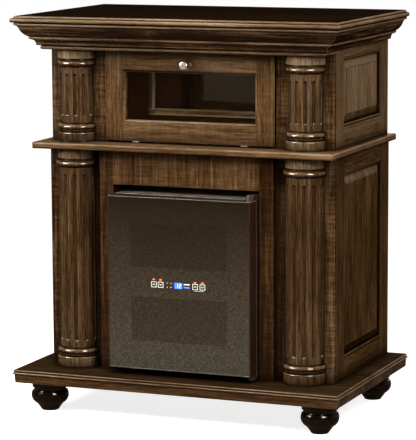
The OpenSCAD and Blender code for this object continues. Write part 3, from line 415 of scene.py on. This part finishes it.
# Painted highlight on each ring, painted shade in the grooves beside it, and strong painted shade in the
# flutes.
for name, seed, tone, drum, cap, drum_tone in (
        ("lower_column_left", 7.1, -0.10, 0.033, 0.030, 0.27),
        ("lower_column_right", 8.8, -0.11, 0.033, 0.030, 0.09),
        ("upper_column_left", 10.5, -0.02, 0.028, 0.027, 0.04),
        ("upper_column_right", 12.2, 0.03, 0.028, 0.027, 0.25)):
    low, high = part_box(name)
    bands = []
    for middle, away in ((low.z + drum + neck + ring_r, -1), (high.z - cap - neck - ring_r, 1)):
        outer = middle + away * (ring_r + neck)
        inner = middle - away * (ring_r + quirk)
        bands.append((middle - ring_r, middle + ring_r, ring_highlight))
        bands.append((*sorted((middle + away * ring_r, outer)), groove_shade))
        bands.append((*sorted((middle - away * ring_r, inner)), groove_shade))
    bands.append((low.z, low.z + drum, drum_tone))
    bands.append((high.z - cap, high.z, cap_tone))
    finish_node(name, walnut(f"walnut_{name}", "Z", seed, tone=tone, bands=bands, hollow_shade=4.5,
                             figure=0.7, dashes=0.8, fines=1.0, coat=0.9, haze=0.17))

# Ledge.
# A moulded board between the two halves, which is also the deck of the upper one. Its lower edge
# carries painted shade, its upper edge a painted highlight, and its top a little painted shade.
ledge_low, ledge_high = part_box("ledge")
ledge_bands = ((ledge_low.z, ledge_low.z + 0.0045, -0.28), (ledge_high.z - 0.004, ledge_high.z, 0.14))
finish_node("ledge", walnut("walnut_ledge", "X", 8.3, tone=0.13, top_shade=0.2, bands=ledge_bands,
                            figure=0.6))

# Back panel.
# Thin veneered board set in between the sides and screwed on round its edge, with a cut-out for
# the cooler's warm air.
finish_node("back_panel", walnut("veneer_back_panel", "Z", 9.0, tone=-0.03, coat=0.15))

# Stemware compartment.
# Plain sides and back, a framed mirror and a rack of T-shaped rails under the soffit board.
finish_node("compartment_sides", walnut("inner_sides", "Y", 9.4, tone=-0.62, figure=0.5, coat=0.1))
finish_node("compartment_back", walnut("inner_back", "X", 9.8, tone=-0.34, figure=0.5, coat=0.1))
finish_node("stemware_rack", walnut("inner_rack", "Y", 10.4, tone=-0.06, coat=0.3))
mirror_low, mirror_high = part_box("mirror_frame")
mirror_rail = 0.020
lip_highlight = 0.0045
rail_top = mirror_low.z + mirror_rail
# Painted highlights along the top and bottom edges of the frame's lower rail.
finish_node("mirror_frame", walnut("walnut_mirror_frame", "X", 10.9, tone=0.12,
                                   stiles=("X", 0.0, mirror_high.x - mirror_rail),
                                   bands=((mirror_low.z, mirror_low.z + lip_highlight, 0.70),
                                          (rail_top - lip_highlight, rail_top, 1.20)),
                                   coat=0.8, haze=0.25))
mirror = Finish("mirror_silver", Metallic=1.0)
cloudy = mirror.noise(mirror.place, (9.0, 9.0, 9.0), 0.2, 3.0)
mirror.feed("Base Color", mirror.mix((0.86, 0.87, 0.86), (0.80, 0.81, 0.81), cloudy))
mirror.feed("Roughness", 0.02 + 0.03 * cloudy)
finish_node("mirror_glass", mirror.material)

# Soffit board, crown and top slab.
# The soffit board carries the build-up that the three mitred lengths of crown moulding are
# nailed to; the top slab covers them.
finish_node("soffit_board", walnut("walnut_soffit_board", "X", 11.2, tone=0.34, figure=0.6, coat=0.4))
finish_node("crown_backer", walnut("inner_crown_backer", "X", 11.6, tone=-0.16, coat=0.15))
crown_low, crown_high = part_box("crown_front")
small_bead = crown_low.z + 0.0195
# Painted highlights on the small bead and the top bead.
bead_highlights = ((small_bead, small_bead + 0.007, 0.50), (crown_high.z - 0.008, crown_high.z, 0.70))
for side, along, seed, coat in (("front", "X", 12.0, 0.5), ("left", "Y", 12.5, 0.06),
                                ("right", "Y", 12.9, 0.06)):
    finish_node(f"crown_{side}", walnut(f"walnut_crown_{side}", along, seed, tone=0.10, bands=bead_highlights,
                                        figure=1.5, ripple=0.4, rings=1.0, coat=coat))
top_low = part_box("top_slab")[0].z
top_groove = top_low + 0.0135
groove_half = 0.0012
# Painted shade: the top is darkened to near black, and so are a line along the lower edge and the groove
# above it.
finish_node("top_slab", walnut("walnut_top_slab", "X", 13.4, tone=0.24, top_shade=0.96,
                               bands=((top_low, top_low + 0.002, -0.40),
                                      (top_groove - groove_half, top_groove + groove_half, -0.60)),
                               figure=0.6, top_coat=0.0))

# Drop door.
# A frame of two stiles and two rails, moulded round its glass, which thin stops hold from
# behind. It drops on two nickel butt hinges and is kept shut by a magnetic catch.
door_stile = 0.054
door_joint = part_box("door_frame")[1].x - door_stile
finish_node("door_frame", walnut("walnut_door_frame", "X", 14.1, tone=0.10, stiles=("X", 0.0, door_joint),
                                 stile_tone=-0.15, figure=0.7, ripple=0.25, coat=0.3))
finish_node("door_glass_stops", walnut("walnut_glass_stops", "X", 14.6, tone=-0.05))

glass_tint = (0.93, 0.95, 0.93)
smeared_tint = tuple(0.94 * part for part in glass_tint)
clear_glass = Finish("clear_door_glass", IOR=1.45, Transmission_Weight=1.0)
smears = clear_glass.noise(clear_glass.place, (26.0, 26.0, 26.0), 0.6, 4.0, 0.7)
clear_glass.feed("Base Color", clear_glass.mix(glass_tint, smeared_tint, smears))
clear_glass.feed("Roughness", 0.03 * smears)
through = clear_glass.tree.nodes.new("ShaderNodeBsdfTransparent")
through.inputs["Color"].default_value = (*glass_tint, 1.0)
either = clear_glass.tree.nodes.new("ShaderNodeMixShader")
clear_glass.join(clear_glass.ray("Is Shadow Ray"), either.inputs[0])
clear_glass.tree.links.new(clear_glass.shader.outputs[0], either.inputs[1])
clear_glass.tree.links.new(through.outputs[0], either.inputs[2])
surface = clear_glass.tree.nodes["Material Output"].inputs["Surface"]
clear_glass.tree.links.new(either.outputs[0], surface)
finish_node("door_glass", clear_glass.material)
nickel = metal("brushed_nickel", (0.66, 0.64, 0.60), 0.24, (900.0, 60.0, 900.0))
finish_node("door_knob", nickel)
leaf_nickel = metal("worn_nickel", (0.09, 0.075, 0.058), 0.62)
finish_node("door_hinge_leaves", leaf_nickel)
finish_node("ledge_hinge_leaves", leaf_nickel)


# Painted light for the deep part of a top, which lies in shade.
deep_top_light = (0.62, 0.45, 0.32)


# Moulded plastic, painted steel and rubber share one finish. Upper edges can get a painted highlight,
# and the top a lighter colour as painted light, which is painted lighter still behind a line.
def plastic(name, colour, roughness, grain=900.0, relief=0.10, edge_highlight_colour=None, edge_size=0.001,
            lit_top_colour=None, deep_light_from=None):
    made = Finish(name, Specular_IOR_Level=0.5)
    pebble = made.noise(made.place, (grain, grain, grain), 0.3, 3.0, 0.6)
    patches = made.noise(made.place, (14.0, 14.0, 14.0), 1.1, 3.0, 0.6)
    dusty = tuple(part * 1.25 + 0.004 for part in colour)
    skin = made.mix(colour, dusty, (2.0 * patches - 0.5).limit())
    made.feed("Roughness", roughness + 0.12 * (patches - 0.5) + 0.08 * (pebble - 0.5))
    rounded = made.node("ShaderNodeBevel", {"samples": 4}, {"Radius": edge_size})
    true_face = made.node("ShaderNodeNewGeometry", {}, {}, "True Normal")
    if lit_top_colour:
        lit_lid = lit_top_colour
        if deep_light_from:
            deep_lit = ((made.split(made.place)[1] - deep_light_from) * 25.0).limit()
            lit_lid = made.mix(lit_top_colour, deep_top_light, deep_lit)
        skin = made.mix(skin, lit_lid, made.split(true_face)[2] > 0.9)
    if edge_highlight_colour:
        facing = made.node("ShaderNodeVectorMath", {"operation": "DOT_PRODUCT"},
                           {0: rounded, 1: true_face}, 1)
        lit_edge = ((1.0 - facing) * 4.0).limit() * (made.split(rounded)[2] * 2.5).limit()
        skin = made.mix(skin, edge_highlight_colour, lit_edge)
    made.feed("Base Color", skin)
    made.feed("Normal", made.node("ShaderNodeBump", {}, {
        "Strength": relief, "Distance": 0.0003, "Height": pebble, "Normal": rounded}))
    return made.material


black_plastic = plastic("black_plastic", (0.012, 0.012, 0.013), 0.42)
finish_node("door_catch", black_plastic)

# Cooler case.
# A painted steel skin over foam, with a grey moulded liner that is split into two zones, wire
# shelves, and a cold plate at the back of each zone.
steel_edge = 0.0022
front_strip = 0.008
# Painted light on the top, lighter still behind the front strip where the bay shades it, and a painted
# highlight on the upper edges.
finish_node("cooler_case", plastic("case_paint", (0.030, 0.016, 0.011), 0.24, 500.0, 0.06,
                                   edge_highlight_colour=(0.30, 0.28, 0.25), edge_size=steel_edge,
                                   lit_top_colour=(0.085, 0.066, 0.050),
                                   deep_light_from=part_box("cooler_case")[0].y + front_strip))
liner = plastic("liner_plastic", (0.10, 0.10, 0.105), 0.45, 600.0, 0.12)
finish_node("cooler_liner", liner)
finish_node("cooler_divider", liner)
finish_node("cooler_shelves", metal("shelf_chrome", (0.70, 0.71, 0.73), 0.18))
aluminium = metal("milled_aluminium", (0.74, 0.75, 0.76), 0.36, (60.0, 900.0, 900.0))
finish_node("cooler_cold_plates", aluminium)
finish_node("cooler_heat_sinks", aluminium)
finish_node("cooler_fan_frames", black_plastic)
finish_node("fan_rotor_upper", black_plastic)
finish_node("fan_rotor_lower", black_plastic)
black_steel = plastic("black_steel", (0.016, 0.016, 0.017), 0.38, 700.0, 0.14)
finish_node("cooler_rear_cover", black_steel)
finish_node("power_inlet", black_plastic)
finish_node("cooler_feet", black_plastic)
# Painted highlight on the upper edges and painted light on the top.
finish_node("cooler_hinge_brackets", plastic("bracket_cover", (0.028, 0.013, 0.008), 0.26,
                                             edge_highlight_colour=(0.24, 0.20, 0.165),
                                             lit_top_colour=(0.052, 0.028, 0.018)))

# Cooler door.
# A black frame that holds smoked glass in front, with a speckled dark film that is painted lighter
# towards the bottom as a reflection of the floor, two windows painted darker as shade from the dark
# inside, and a clear pane behind. A soft gasket meets the case.
# Painted highlight on the upper edges and painted light on the top.
finish_node("cooler_door_frame", plastic("door_skin", (0.024, 0.009, 0.005), 0.22, 500.0, 0.05,
                                         edge_highlight_colour=(0.34, 0.315, 0.28), edge_size=steel_edge,
                                         lit_top_colour=(0.034, 0.026, 0.020)))
finish_node("cooler_inner_glass", clear_glass.material)
finish_node("cooler_door_gasket", plastic("gasket_rubber", (0.02, 0.02, 0.021), 0.62))
finish_node("control_panel", black_plastic)

glass_low, glass_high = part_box("cooler_door_glass")
window_half = 0.152
window_sharp = 400.0
windows = ((0.233, 0.3665), (0.452, 0.584))
window_shade_colour = (0.012, 0.0080, 0.0034)
window_share = 0.42
speckle_colour = (0.100, 0.086, 0.064)
smoked = Finish("smoked_glass", IOR=1.45, Specular_IOR_Level=0.22)
x, y, z = smoked.split(smoked.place)
rise = ((z - glass_low.z) * (1.0 / (glass_high.z - glass_low.z))).limit()
# Painted reflection: the film is lighter towards the bottom.
film = smoked.node("ShaderNodeValToRGB", {"stops": (
    (0.0, (0.034, 0.027, 0.0165)),
    (0.5, (0.027, 0.018, 0.0095)),
    (1.0, (0.011, 0.0065, 0.0033)))}, {0: rise})
speckle = smoked.noise(smoked.place, (260.0, 260.0, 260.0), 0.8, 3.0, 0.7)
weave = smoked.noise(smoked.place, (60.0, 60.0, 300.0), 2.8, 2.0, 0.6)
window = 0.0
for z0, z1 in windows:
    across = ((window_half - abs(x)) * window_sharp).limit()
    upright = (((z1 - z0) / 2 - abs(z - (z0 + z1) / 2)) * window_sharp).limit()
    window = across * upright + window
grain_share = (2.6 * (speckle - 0.42) + 0.8 * (weave - 0.5)).limit() * (1.05 - rise).limit()
film = smoked.mix(film, speckle_colour, grain_share)
# Painted shade: the two windows are darker where the dark inside would show.
film = smoked.mix(film, window_shade_colour, window * window_share)
smoked.feed("Base Color", film)
smoked.feed("Roughness", 0.20 + 0.1 * (speckle - 0.5))
finish_node("cooler_door_glass", smoked.material)

# Touch controls.
# Marks printed on the door's glass in front of the touch panel: four key outlines with a lamp
# mark over each, dots, two bars and a small lit display. They turn with the door.
mark_t = 0.00012
controls_z = 0.404


def printed(name, material, layer, bars):
    sheet = bmesh.new()
    for x, z, width, tall, turn in bars:
        bmesh.ops.create_grid(sheet, x_segments=1, y_segments=1, size=0.5, matrix=(
            Matrix.Translation((x, glass_low.y - layer * mark_t, controls_z + z))
            @ Matrix.Rotation(math.radians(turn), 4, "Y") @ Matrix.Rotation(math.radians(90), 4, "X")
            @ Matrix.Diagonal((width, tall, 1.0, 1.0))))
    raised = bmesh.ops.extrude_face_region(sheet, geom=sheet.faces[:])
    bmesh.ops.translate(sheet, vec=(0.0, -mark_t, 0.0), verts=[
        part for part in raised["geom"] if isinstance(part, bmesh.types.BMVert)])
    bmesh.ops.recalc_face_normals(sheet, faces=sheet.faces[:])
    mesh = bpy.data.meshes.new(name)
    sheet.to_mesh(mesh)
    sheet.free()
    mesh.materials.append(material)
    piece = bpy.data.objects.new(name, mesh)
    bpy.context.scene.collection.objects.link(piece)
    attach(piece, "cooler_door")


def ink(name, colour, glow=0.0):
    made = Finish(name, Roughness=0.45, Emission_Strength=glow)
    worn = made.noise(made.place, (900.0, 900.0, 900.0), 0.5, 2.0)
    thin = tuple(0.8 * part for part in colour)
    made.feed("Base Color", made.mix(thin, colour, worn))
    made.feed("Emission Color", made.mix(thin, colour, worn))
    return made.material


key_half = 0.0085
line_w = 0.0016
line_in = key_half - line_w / 2
arm_out = 0.0019
arm_length = 0.0062
dot_size = 0.0022
lamp_w = 0.0070
lamp_h = 0.0036
outlines = []
keys = ((-0.0776, 1, 0.0145), (-0.0562, -1, 0.0145), (0.0525, 1, 0.0125), (0.0755, -1, 0.0125))
for x, up, lamp_z in keys:
    for away in (-1, 1):
        outlines.append((x, away * line_in, 2 * key_half, line_w, 0))
        outlines.append((x + away * line_in, 0.0, line_w, 2 * (key_half - line_w), 0))
        outlines.append((x + away * arm_out, 0.0, arm_length, line_w, up * away * 42))
for x in (-0.0355, -0.0235):
    for z in (-0.006, 0.006):
        outlines.append((x, z, dot_size, dot_size, 45))
outlines.append((0.0640, -0.0118, 0.0300, 0.0010, 0))
lamps = [(x, lamp_z, lamp_w, lamp_h, 0) for x, up, lamp_z in keys]
printed("control_keys", ink("key_print", (0.60, 0.64, 0.55), 0.42), 0, outlines)
printed("control_lamps", ink("lamp_print", (0.95, 0.17, 0.045), 0.9), 0, lamps)
bar_x = 0.0260
bar_length = 0.0180
display_w = 0.0240
display_h = 0.0170
printed("control_bar_upper", ink("pale_print", (0.72, 0.74, 0.70), 0.35), 0,
        [(bar_x, 0.0050, bar_length, 0.0034, 0)])
printed("control_bar_lower", ink("blue_print", (0.10, 0.26, 0.80), 0.8), 0,
        [(bar_x, -0.0040, bar_length, 0.0030, 0)])
printed("display_field", ink("display_blue", (0.035, 0.16, 0.95), 1.0), 0,
        [(0.0, 0.0, display_w, display_h, 0)])

digit_w = 0.0052
digit_h = 0.0110
digit_x = 0.0048
stroke = 0.0013
segments = {
    "a": (0, digit_h / 2, digit_w, stroke),
    "b": (digit_w / 2, digit_h / 4, stroke, digit_h / 2),
    "c": (digit_w / 2, -digit_h / 4, stroke, digit_h / 2),
    "d": (0, -digit_h / 2, digit_w, stroke),
    "e": (-digit_w / 2, -digit_h / 4, stroke, digit_h / 2),
    "g": (0, 0, digit_w, stroke)}
figures = []
for x, lit in ((-digit_x, "bc"), (digit_x, "abged")):
    for letter in lit:
        dx, dz, width, tall = segments[letter]
        figures.append((x + dx, dz, width, tall, 0))
printed("display_digits", ink("display_white", (0.62, 0.80, 1.0), 1.0), 1, figures)


# Screws.
# Cross-recessed steel screws hold the rear cover, the top hinge bracket and the hinge leaves, and
# the back panel is screwed on round its edge.
def screws(name, places, facing, material, radius, proud, body="root"):
    heads = bmesh.new()
    to_face = Vector(facing).to_track_quat("Z", "Y").to_matrix().to_4x4()
    crown = 0.72 * radius
    arm = 0.13 * radius
    arm_end = 0.5 * radius
    recess = 0.8 * proud
    turn_each = 1.9
    for index, place in enumerate(places):
        head = bmesh.new()
        bmesh.ops.create_cone(head, cap_ends=True, segments=20, radius1=radius, radius2=crown,
                              depth=2 * proud)
        for axis in ((1, 0, 0), (0, 1, 0)):
            for offset in (-arm, -arm_end, arm, arm_end):
                bmesh.ops.bisect_plane(head, geom=head.verts[:] + head.edges[:] + head.faces[:], dist=1e-7,
                                       plane_co=tuple(offset * part for part in axis), plane_no=axis)
        cross = []
        for face in head.faces:
            x, y, _ = face.calc_center_median()
            near, far = sorted((abs(x), abs(y)))
            if face.normal.z > 0.9 and near < arm and far < arm_end:
                cross.append(face)
        sunk = bmesh.ops.extrude_face_region(head, geom=cross)
        bmesh.ops.delete(head, geom=cross, context="FACES_KEEP_BOUNDARY")
        bmesh.ops.translate(head, vec=(0.0, 0.0, -recess), verts=[
            part for part in sunk["geom"] if isinstance(part, bmesh.types.BMVert)])
        turned = Matrix.Rotation(turn_each * index, 3, "Z")
        bmesh.ops.rotate(head, verts=head.verts[:], cent=(0, 0, 0), matrix=turned)
        bmesh.ops.transform(head, matrix=Matrix.Translation(place) @ to_face, verts=head.verts[:])
        bmesh.ops.recalc_face_normals(head, faces=head.faces[:])
        mesh = bpy.data.meshes.new(name)
        head.to_mesh(mesh)
        head.free()
        heads.from_mesh(mesh)
        bpy.data.meshes.remove(mesh)
    mesh = bpy.data.meshes.new(name)
    heads.to_mesh(mesh)
    heads.free()
    mesh.materials.append(material)
    piece = bpy.data.objects.new(name, mesh)
    bpy.context.scene.collection.objects.link(piece)
    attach(piece, body)


upward = (0, 0, 1)
downward = (0, 0, -1)
rearward = (0, 1, 0)

cover_low, cover_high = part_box("cooler_rear_cover")
edge_in = 0.007
cover_x = cover_high.x - edge_in
cover_bottom = cover_low.z + edge_in
cover_middle = (cover_low.z + cover_high.z) / 2
cover_top = cover_high.z - edge_in
screws("rear_cover_screws",
       [(x, cover_high.y, z) for x in (-cover_x, cover_x) for z in (cover_bottom, cover_middle, cover_top)]
       + [(0.0, cover_high.y, z) for z in (cover_bottom, cover_top)],
       rearward, black_steel, radius=0.0036, proud=0.0012)

panel_low, panel_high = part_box("back_panel")
panel_y = panel_high.y - 0.0004
panel_x = panel_high.x - 0.010
panel_bottom = panel_low.z + 0.012
panel_top = panel_high.z - 0.090
panel_between = (0.34, 0.55, 0.76)
screws("back_panel_screws",
       [(x, panel_y, z) for x in (-panel_x, panel_low.x / 3, panel_high.x / 3, panel_x)
        for z in (panel_bottom, panel_top)]
       + [(x, panel_y, z) for x in (-panel_x, panel_x) for z in panel_between],
       rearward, zinc, radius=0.0040, proud=0.0006)

bracket_x = (0.205, 0.217)
bracket_y = -0.1845
bracket_top = 0.6640
screws("bracket_screws", [(x, bracket_y, bracket_top) for x in bracket_x],
       upward, black_steel, radius=0.0030, proud=0.0009)

leaf_x = [x + away for x in (-0.171, 0.171) for away in (-0.006, 0.006)]
leaf_y = -0.1640
ledge_leaf_z = 0.8074
door_leaf_z = 0.8101
screws("ledge_leaf_screws", [(x, leaf_y, ledge_leaf_z) for x in leaf_x],
       upward, nickel, radius=0.0022, proud=0.0004)
screws("door_leaf_screws", [(x, leaf_y, door_leaf_z) for x in leaf_x],
       downward, nickel, radius=0.0022, proud=0.0004, body="drop_door")
